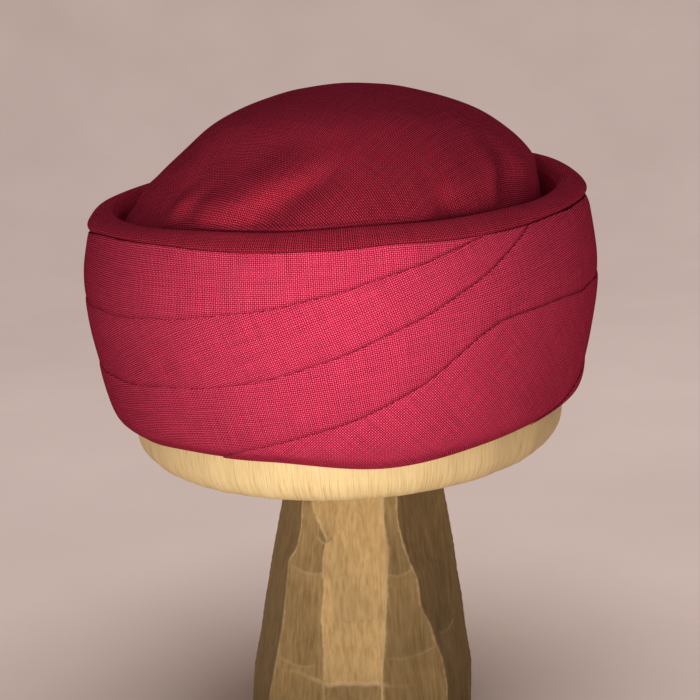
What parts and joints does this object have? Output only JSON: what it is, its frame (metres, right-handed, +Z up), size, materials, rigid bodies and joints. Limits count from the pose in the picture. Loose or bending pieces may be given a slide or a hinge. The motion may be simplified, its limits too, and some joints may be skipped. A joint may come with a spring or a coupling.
{
  "type": "songkok on a wooden stand",
  "caption": "Soft dark red cloth songkok with a domed crown rising from a padded, pleated band with a rolled top edge, set on a pale oval wooden block on a hewn post.",
  "frame": {"origin": "on the flat foot of the stand's post, on the upright axis of the hat", "axes": "+Z up through the hat's crown, -Y towards the hat's front, +X towards the right side as seen from the front"},
  "size_m": [0.2055, 0.2348, 0.2634],
  "materials": {
    "cloth": "matt plain-weave cotton with a visible weave",
    "pale_wood": "bare pale wood with fine upright grain",
    "hewn_wood": "bare brown wood, hewn in long facets"
  },
  "bodies": {
    "root": {"crown": "cloth", "band": "cloth", "front_pleat": "cloth", "side_pleat": "cloth", "stand_block": "pale_wood", "stand_post": "hewn_wood"}
  },
  "joints": []
}
